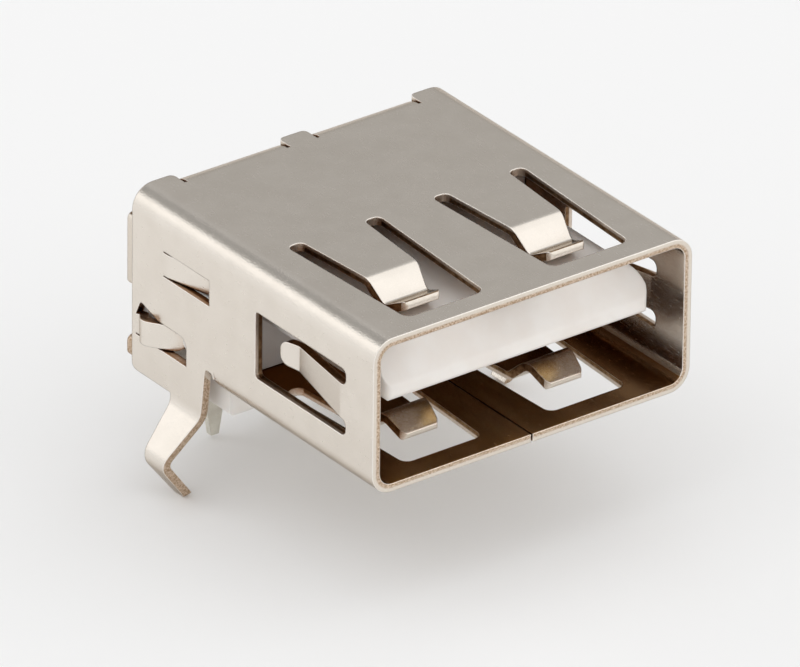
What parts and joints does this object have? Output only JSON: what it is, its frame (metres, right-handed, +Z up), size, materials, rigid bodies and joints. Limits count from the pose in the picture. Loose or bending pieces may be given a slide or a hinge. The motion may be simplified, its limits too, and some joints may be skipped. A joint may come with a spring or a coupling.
{
  "type": "usb-a socket",
  "caption": "Right-angle board socket: a folded nickel-plated shell with spring fingers and kinked legs, round a white tongue that carries spring contacts",
  "frame": {"origin": "on the board's top face, midway between the two shell legs", "axes": "+Z up from the board, -Y out of the mouth, +X to the right as seen at the mouth"},
  "size_m": [0.0156, 0.0138, 0.0102],
  "materials": {
    "nickel": "satin nickel plating on thin steel sheet",
    "white_plastic": "satin white moulding",
    "contact_alloy": "thin gold over copper alloy"
  },
  "bodies": {
    "root": {"shell": "nickel", "insulator": "white_plastic", "contact_1": "contact_alloy", "contact_2": "contact_alloy", "contact_3": "contact_alloy", "contact_4": "contact_alloy"}
  },
  "joints": []
}
